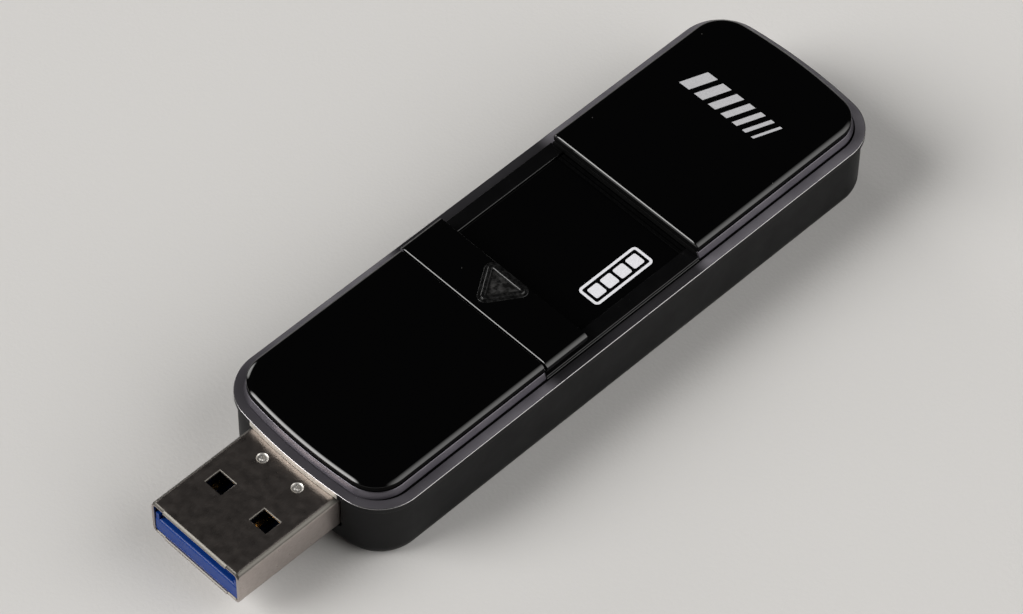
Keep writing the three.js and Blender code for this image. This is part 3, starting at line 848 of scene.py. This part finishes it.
def rail(name, turn, node):
    """A side trim of the opening: a leg beside the slider, and a flange with a fine step along its
    outer foot and a lip over the slider plate. The left rail is the right one turned half round."""
    inner, outer = RAIL_LOW.x, RAIL_HIGH.x
    leg_width = 0.45
    lip_x = PLATE_HIGH.x + 0.03
    lip_z = PLATE_HIGH.z + 0.06
    edge = 0.07
    step = 0.07
    step_z = RIM_TOP_Z + 0.16
    top_z = RAIL_HIGH.z
    flange = [(inner, RIM_TOP_Z), (outer + step, RIM_TOP_Z)]
    flange += bend((outer + step, step_z - step), (outer + step, step_z), (outer, step_z), 4)
    flange += bend((outer, top_z - edge), (outer, top_z), (outer - edge, top_z), 4)
    flange += bend((lip_x + edge, top_z), (lip_x, top_z), (lip_x, top_z - edge), 4)
    flange += [(lip_x, lip_z), (inner, lip_z)]
    leg_low, leg_high = RAIL_LOW.z, RIM_TOP_Z + 0.1
    leg_outer = inner + leg_width
    leg = [(inner, leg_low), (leg_outer, leg_low), (leg_outer, leg_high), (inner, leg_high)]
    gap = 0.05
    seams = sorted((turn * (FRONT_SEAM_Y + gap), turn * (REAR_SEAM_Y - gap)))

    def run(outline, ys):
        return loft([[(turn * x, turn * y, z) for x, z in outline] for y in reversed(ys)])

    piece = new_object(name, *run(leg, (RAIL_LOW.y, RAIL_HIGH.y)))
    boolean(piece, "UNION", run(flange, seams))
    finish_piece(piece, "dark_grey", HOUSING, node)


bottom_shell()
rim_frame()
band("band_front", FRONT_SEAM_Y, "front_band")
band("band_rear", REAR_SEAM_Y, "rear_band")
cover("cap_front", FRONT_SEAM_Y, "front_cover")
cover("cap_rear", REAR_SEAM_Y, "rear_cover")
rail("rail_right", 1, "right_rail")
rail("rail_left", -1, "left_rail")


# ------------------------------------------------------------------ slider plate and thumb pad


def slider_plate():
    """The opening's glossy floor, with softly rounded edges."""
    low, high = PLATE_LOW, PLATE_HIGH
    edge = 0.1
    profile = bend((edge, low.z), (0, low.z), (0, low.z + edge), 3)
    profile += bend((0, high.z - edge), (0, high.z), (edge, high.z), 5)
    loops = [rectangle_loop((low.x, high.x), (low.y, high.y), inset, inset, z) for inset, z in profile]
    piece = new_object("plate", *loft(loops))
    soften(piece)
    finish_piece(piece, "gloss_black", SLIDER, "slider_plate")


ARROW_TIP_Y = PAD_LOW.y + 1.64
ARROW_BASE_Y = PAD_LOW.y + 4.43
ARROW_HALF_BASE = 1.85
ARROW_WALL = 0.5
ARROW_SUNK = 0.05
PAD_REACH = 0.2
PAD_SKIRT_INSET = 1.8


def arrow_loop(away, z):
    """The arrow's inner triangle grown outwards by away, with round corners."""
    corners = [(0.0, ARROW_TIP_Y), (ARROW_HALF_BASE, ARROW_BASE_Y), (-ARROW_HALF_BASE, ARROW_BASE_Y)]
    slant = math.atan2(ARROW_HALF_BASE, ARROW_BASE_Y - ARROW_TIP_Y)
    facing = (math.pi + slant, 2 * math.pi - slant, 2.5 * math.pi, 3 * math.pi + slant)
    loop = []
    for (x, y), start, end in zip(corners, facing, facing[1:]):
        loop += [(px, py, z) for px, py in arc(x, y, away, start, end, 10)]
    return loop


def arrow_ridge():
    """The raised outline of the arrow, round on top, with a low step round it, as points and faces."""
    near, far, step = 0.01, ARROW_WALL, 0.85
    foot, step_z, top = TOP_Z - ARROW_SUNK - 0.05, TOP_Z + 0.05, PAD_HIGH.z
    edge, step_edge = 0.2, 0.05
    hold = 0.02
    profile = [(step, foot)]
    profile += bend((step, step_z - step_edge), (step, step_z), (step - step_edge, step_z), 4)
    profile += [(far + hold, step_z)]
    profile += bend((far, step_z + hold), (far, top), (far - edge, top), 5)
    profile += bend((near + edge, top), (near, top), (near, top - edge), 5)
    profile += [(near, foot)]
    return loft([arrow_loop(away, z) for away, z in profile], ring=True)


def thumb_pad():
    """The pad: side skirts with a fine line, the covers' soft shoulder a little further out, and
    the arrow."""
    xs, ys = (PAD_LOW.x, PAD_HIGH.x), (PAD_LOW.y, PAD_HIGH.y)
    foot, foot_end = PAD_HIGH.x - PLATE_HIGH.x + 0.4, 0.4
    skirt = PAD_SKIRT_INSET - COVER_INSET
    skirt_bottom = PLATE_HIGH.z + 0.35
    line_z = skirt_bottom + 0.26
    groove = 0.04
    neck, neck_end = skirt + 0.25, 0.05
    neck_z = COVER_BOTTOM_Z - 0.08
    profile = [
        (foot, PLATE_HIGH.z, foot_end),
        (foot, skirt_bottom, foot_end),
        (skirt + groove, skirt_bottom, groove),
        (skirt, skirt_bottom + groove, 0.0),
        (skirt, line_z - groove, 0.0),
        (skirt + groove, line_z, groove / 2),
        (skirt, line_z + groove, 0.0),
        (skirt, neck_z, 0.0),
        (neck, neck_z, neck_end),
        (neck, COVER_BOTTOM_Z, neck_end),
    ]
    outwards = COVER_INSET + PAD_REACH
    profile += [(inset - outwards, z, end) for inset, z, end in top_profile(COVER_BOTTOM_Z)]
    pad = new_object("pad", *loft([rectangle_loop(xs, ys, inset, end, z) for inset, z, end in profile]))
    pocket = loft([arrow_loop(0.2, TOP_Z - ARROW_SUNK), arrow_loop(0.2, TOP_Z + 1)])
    boolean(pad, "DIFFERENCE", pocket)
    boolean(pad, "UNION", arrow_ridge())
    tiny = 0.001

    def slot_of_face(face):
        z = face.center.z / MM
        if z - TOP_Z > tiny or z < neck_z:
            return "rubbed_black"
        if abs(z - TOP_Z + ARROW_SUNK) < tiny:
            return "settled_dust"
        return "gloss_black"

    paint_faces(pad, ("gloss_black", "settled_dust", "rubbed_black"), slot_of_face)
    soften(pad)
    finish_piece(pad, "gloss_black", SLIDER, "thumb_pad")


slider_plate()
thumb_pad()


# ------------------------------------------------------------------ plug


PLUG_TONGUE = 4.3
WINDOW_INNER, WINDOW_OUTER = 2.0, 4.15
WINDOW_YS = (SHELL_LOW.y + 5.3, SHELL_LOW.y + 7.1)
PIP_RADIUS = 0.62
PIPS = [(side * 2.4, SHELL_LOW.y + 10.9) for side in (-1, 1)]


def tube_loop(shrink, y, step_back=0.0, top_drop=0.0, bottom_drop=0.0):
    """One loop of the plug's skin, moved in by shrink. Its top and bottom may be lowered, and it
    steps back outside the middle tongue."""
    hold = 0.03
    half_width = SHELL_HIGH.x - shrink
    half_height = (SHELL_HIGH.z - SHELL_LOW.z) / 2 - shrink
    outline = rounded_rectangle(half_width, half_height, max(SHELL_CORNER - shrink, 0.1))
    quarter = len(outline) // 4
    top = [(x, half_height) for x in (PLUG_TONGUE + hold, PLUG_TONGUE, -PLUG_TONGUE, -PLUG_TONGUE - hold)]
    bottom = [(-x, -z) for x, z in top]
    outline = outline[:quarter] + top + outline[quarter : 3 * quarter] + bottom + outline[3 * quarter :]
    loop = []
    for x, z in outline:
        back = step_back if abs(x) > PLUG_TONGUE + hold / 2 else 0.0
        drop = (top_drop if z > 0 else bottom_drop) * abs(z) / half_height
        loop.append((x, y + back, SHELL_CENTRE_Z + z - drop))
    return loop


def shell_skin():
    """The shell before its windows are cut. Its front edge slopes down on the top sheet, and inside
    the bottom one."""
    front, rear = SHELL_LOW.y, SHELL_HIGH.y
    slope_length, slope_depth, slope_steps = 0.32, 0.27, 6
    step_back = 0.1
    edge = 0.09
    loops = [tube_loop(0, rear), tube_loop(0, front + 2 * slope_length)]
    for i in range(slope_steps + 1):
        t = i / slope_steps
        loops.append(tube_loop(0, front + slope_length * (1 - t), step_back * t, slope_depth * t**1.6))
    inner_drop = slope_depth - SHELL_SHEET + edge
    loops += [
        tube_loop(SHELL_SHEET, front, step_back, inner_drop, edge),
        tube_loop(SHELL_SHEET, front + edge, step_back, inner_drop * (1 - edge / slope_length), 0.01),
        tube_loop(SHELL_SHEET, front + slope_length),
        tube_loop(SHELL_SHEET, front + 2 * slope_length),
        tube_loop(SHELL_SHEET, rear),
    ]
    return loft(loops, ring=True)


def window_cutter(side):
    """A cutter for a window above and the one below it. It flares where it leaves each sheet."""
    xs = sorted((side * WINDOW_INNER, side * WINDOW_OUTER))
    flare, depth, steps = 0.2, 0.22, 6
    angles = [math.pi / 2 * i / steps for i in range(steps + 1)]
    turn = [(flare * (1 - math.sin(a)), depth * math.cos(a)) for a in angles]
    below = [(grow, SHELL_LOW.z + depth - lift) for grow, lift in turn]
    above = [(grow, SHELL_HIGH.z - depth + lift) for grow, lift in reversed(turn)]
    profile = [(flare, SHELL_LOW.z - 1)] + below + above + [(flare, SHELL_HIGH.z + 1)]
    return loft([rectangle_loop(xs, WINDOW_YS, -grow, -grow, z) for grow, z in profile])


def pip_cutter(x, y):
    """A cutter for one pressed mark: a round dish with a raised three-lobed button in its middle."""
    rings = [
        # radius, how far the lobes stand out, height
        (0.12, 0.25, -0.03),
        (0.2, 0.25, -0.05),
        (0.27, 0.2, -0.1),
        (0.46, 0.0, -0.11),
        (0.56, 0.0, -0.06),
        (PIP_RADIUS, 0.0, 0.0),
        (PIP_RADIUS, 0.0, 0.3),
    ]
    steps = 36
    turns = [i / steps * 2 * math.pi for i in range(steps)]
    loops = []
    for radius, lobes, height in rings:
        reach = [radius * (1 + lobes * math.cos(3 * a)) for a in turns]
        z = SHELL_HIGH.z + height
        loops.append([(x + r * math.cos(a), y + r * math.sin(a), z) for r, a in zip(reach, turns)])
    return loft(loops)


def plug_shell():
    """The folded steel shell: latch windows with rolled edges, two round pressed marks on top, and
    a seam below."""
    shell = new_object("shell", *shell_skin())
    seam_half, seam_depth = 0.04, 0.12
    seam = block(
        (-seam_half, seam_half),
        (SHELL_LOW.y - 1, SHELL_HIGH.y + 1),
        (SHELL_LOW.z - 1, SHELL_LOW.z + seam_depth),
    )
    boolean(shell, "DIFFERENCE", window_cutter(-1), window_cutter(1))
    boolean(shell, "DIFFERENCE", *(pip_cutter(x, y) for x, y in PIPS))
    boolean(shell, "DIFFERENCE", seam)

    def slot_of_face(face):
        x, y, z = face.center / MM
        in_pip = any(math.hypot(x - px, y - py) < PIP_RADIUS for px, py in PIPS)
        below_top = 0.001 < SHELL_HIGH.z - z < SHELL_SHEET / 2
        return "pressed_steel" if in_pip and below_top else "plug_steel"

    paint_faces(shell, ("plug_steel", "pressed_steel"), slot_of_face)
    soften(shell)
    finish_piece(shell, "plug_steel", SLIDER, "plug_shell")


def plug_insulator():
    """The blue block: rounded leading edge, a post at each side of it, a groove for the pad of each
    flat contact, and a taller tail. Behind the pads it closes over the contacts' narrow tails."""
    low, high = INSULATOR_LOW, INSULATOR_HIGH
    top = SHELL_CENTRE_Z
    closed_z = top + 0.04
    pads_end = SHELL_LOW.y + 5.05
    lead = 0.32
    tail = high.y - 4.8
    side_view = [(low.y, low.z)]
    side_view += bend((low.y, top - lead), (low.y, top), (low.y + lead, top), 6)
    side_view += [(pads_end, top), (pads_end, closed_z), (tail, closed_z)]
    side_view += [(tail, high.z), (high.y, high.z), (high.y, low.z)]
    loops = [[(x, y, z) for y, z in side_view] for x in (high.x, low.x)]
    insulator = new_object("insulator", *loft(loops))
    middle = (high.z + low.z) / 2
    outline = rounded_rectangle(high.x, (high.z - low.z) / 2, 0.3)
    envelope = loft([[(x, y, middle + z) for x, z in outline] for y in (high.y + 1, low.y - 1)])
    boolean(insulator, "INTERSECT", envelope)
    post_ys, post_zs = (low.y + 0.05, low.y + 3.2), (top - 0.5, top + 0.75)
    for side in (-1, 1):
        post_xs = sorted((side * (high.x - 0.04), side * (high.x - 0.5)))
        boolean(insulator, "UNION", block(post_xs, post_ys, post_zs))
    passage = 4.95
    boolean(
        insulator, "DIFFERENCE", block((-passage, passage), (tail - 1, high.y + 1), (closed_z, top + 0.5))
    )
    for number in range(1, 5):
        boolean(insulator, "DIFFERENCE", pad_groove(*box_mm(f"flat_contact_{number}"), pads_end))
    soften(insulator, 0.03)
    finish_piece(insulator, "plug_blue", SLIDER, "plug_insulator")


def pad_groove(low, high, end_y):
    """The groove for a flat contact's pad. An outer contact's pad fills the outer part of its box."""
    gap = 0.03
    pad_width = 1.0
    middle = (low.x + high.x) / 2
    pad_x = middle + math.copysign((high.x - low.x - pad_width) / 2, middle)
    half = pad_width / 2 + gap
    return block((pad_x - half, pad_x + half), (low.y - gap, end_y), (low.z, high.z + 0.3))


plug_shell()
plug_insulator()


# ------------------------------------------------------------------ printed marks, both generic


INK = 0.015


def print_mark(name, outline, surface_z, slot, body):
    """A printed shape: a thin film that stands just proud of its surface."""
    film = loft([[(x, y, z) for x, y in outline] for z in (surface_z - INK, surface_z + INK)])
    finish_piece(new_object(name, *film), slot, body)


def capacity_gauge():
    """A plain gauge on the slider plate: an outlined bar that holds four blocks."""
    centre_x, centre_y = 6.0, 2.1
    half_length, half_width = 3.95, 1.37
    stroke, radius = 0.3, 0.5
    z0, z1 = PLATE_HIGH.z - INK, PLATE_HIGH.z + INK

    def outline(shrink):
        plan = rounded_rectangle(half_width - shrink, half_length - shrink, radius - shrink)
        return [(centre_x + x, centre_y + y) for x, y in plan]

    levels = ((0, z0), (0, z1), (stroke, z1), (stroke, z0))
    loops = [[(x, y, z) for x, y in outline(shrink)] for shrink, z in levels]
    finish_piece(new_object("gauge_frame", *loft(loops, ring=True)), "print_white", SLIDER)
    blocks, gap, corner = 4, 0.35, 0.2
    room = 2 * (half_length - stroke - gap)
    pitch = (room + gap) / blocks
    for i in range(blocks):
        middle = centre_y - room / 2 + pitch * i + (pitch - gap) / 2
        plan = rounded_rectangle(half_width - stroke - gap, (pitch - gap) / 2, corner)
        filled = [(centre_x + x, middle + y) for x, y in plan]
        print_mark(f"gauge_block_{i + 1}", filled, PLATE_HIGH.z, "print_white", SLIDER)


def speed_stripes():
    """Slanting bars on the rear cover, each thinner than the last."""
    bars = 7
    first_width, thinner, gap = 1.35, 0.17, 0.72
    left, slant = -5.9, 1.1
    front, back = 23.0, 26.0
    for i in range(bars):
        width = first_width - thinner * i
        right = left + width
        plan = [(left, front), (right, front), (right + slant, back), (left + slant, back)]
        print_mark(f"stripe_{i + 1}", plan, TOP_Z, "print_grey", HOUSING)
        left += width + gap


capacity_gauge()
speed_stripes()


# ------------------------------------------------------------------ CAD parts that keep their shape


def keep_cad(node, slot, width_mm):
    """A carried-over CAD node: its flats merged, its edges rounded, and its finish applied."""
    piece = frame["nodes"][node]
    merge = piece.modifiers.new("flats", "DECIMATE")
    merge.decimate_type = "DISSOLVE"
    merge.angle_limit = math.radians(1)
    soften(piece, width_mm)
    piece.data.materials.clear()
    piece.data.materials.append(MATERIALS[slot])


SLOT_OF = {part["node"]: part["material_slot"] for part in frame["record"]["subparts"]}
SMALL_EDGE = 0.03
EDGE_OF = {
    "sled": 0.1,
    "circuit_board": 0.05,
    "controller_chip": 0.08,
    "flash_chip": 0.08,
    "crystal": 0.15,
    "power_coil": 0.12,
}

stood_for = {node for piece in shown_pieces() for node in piece.get("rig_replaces", [])}
for node_name in frame["nodes"]:
    if node_name not in stood_for:
        keep_cad(node_name, SLOT_OF[node_name], EDGE_OF.get(node_name, SMALL_EDGE))


# ------------------------------------------------------------------ studio


def floor():
    """A wide sheet of pale paper under the object."""
    size = 3.0
    corners = [(-size, -size, 0), (size, -size, 0), (size, size, 0), (-size, size, 0)]
    mesh = bpy.data.meshes.new("floor")
    mesh.from_pydata(corners, [], [(0, 1, 2, 3)])
    made = bpy.data.objects.new("floor", mesh)
    bpy.context.scene.collection.objects.link(made)
    paper = Finish("floor_paper")
    paper.set("Base Color", (0.62, 0.61, 0.6))
    paper.set("Roughness", 0.75)
    paper.bump(paper.noise(0.4), depth_mm=0.02)
    mesh.materials.append(paper.material)


PANELS = (
    # direction, angle where it is full, angle where it ends, radiance
    ((0.75, 0.45, 0.48), 12, 43, 3.0),
    ((-0.435, -0.7, 0.56), 9, 24, 11.0),
    ((-0.93, 0.09, 0.28), 6, 14, 4.0),
)


def studio_world():
    """A dim room with three soft panels: a wide one beyond the body's right side, a small one over
    the plug's left, and a smaller one low on the body's left. What the glossy tops mirror stays dark.
    Seen directly, the backdrop is as pale as the floor."""
    room, backdrop = 0.015, 0.6
    world = bpy.data.worlds.new("studio")
    world.use_nodes = True
    nodes = Nodes(world.node_tree)
    towards = nodes.node("ShaderNodeTexCoord").outputs["Generated"]
    glow = room
    for direction, full, end, radiance in PANELS:
        facing = nodes.node("ShaderNodeVectorMath")
        facing.operation = "DOT_PRODUCT"
        nodes.feed(facing.inputs[0], towards)
        nodes.feed(facing.inputs[1], Vector(direction).normalized())
        cosines = [math.cos(math.radians(angle)) for angle in (end, full)]
        panel = nodes.remap(facing.outputs["Value"], *cosines, 0.0, radiance, "SMOOTHSTEP")
        glow = nodes.math("ADD", glow, panel)
    seen = nodes.node("ShaderNodeLightPath").outputs["Is Camera Ray"]
    glow = nodes.math("MAXIMUM", glow, nodes.math("MULTIPLY", seen, backdrop))
    background = world.node_tree.nodes["Background"]
    nodes.feed(background.inputs["Color"], (1.0, 0.99, 0.97))
    nodes.feed(background.inputs["Strength"], glow)
    bpy.context.scene.world = world
    bpy.context.scene.view_settings.view_transform = "Standard"


def camera():
    """The photograph's viewing angle: above the plug's right, with a long lens and a slight roll."""
    azimuth, elevation, roll = (math.radians(a) for a in (44.9, 52.05, 0.72))
    distance = 0.45
    target = Vector((-0.15, -5.96, SHELL_CENTRE_Z)) * MM
    level = math.cos(elevation)
    back = Vector((math.sin(azimuth) * level, -math.cos(azimuth) * level, math.sin(elevation)))
    right = Vector((0, 0, 1)).cross(back).normalized()
    up = back.cross(right)
    rolled_right = right * math.cos(roll) + up * math.sin(roll)
    rolled_up = up * math.cos(roll) - right * math.sin(roll)
    made = bpy.data.objects.new("camera", bpy.data.cameras.new("camera"))
    made.data.lens = 163.3
    made.data.sensor_width = 36
    made.data.clip_start, made.data.clip_end = 0.01, 10
    turn = Matrix((rolled_right, rolled_up, back)).transposed()
    made.matrix_world = Matrix.Translation(target + back * distance) @ turn.to_4x4()
    bpy.context.scene.collection.objects.link(made)
    bpy.context.scene.camera = made


floor()
studio_world()
camera()
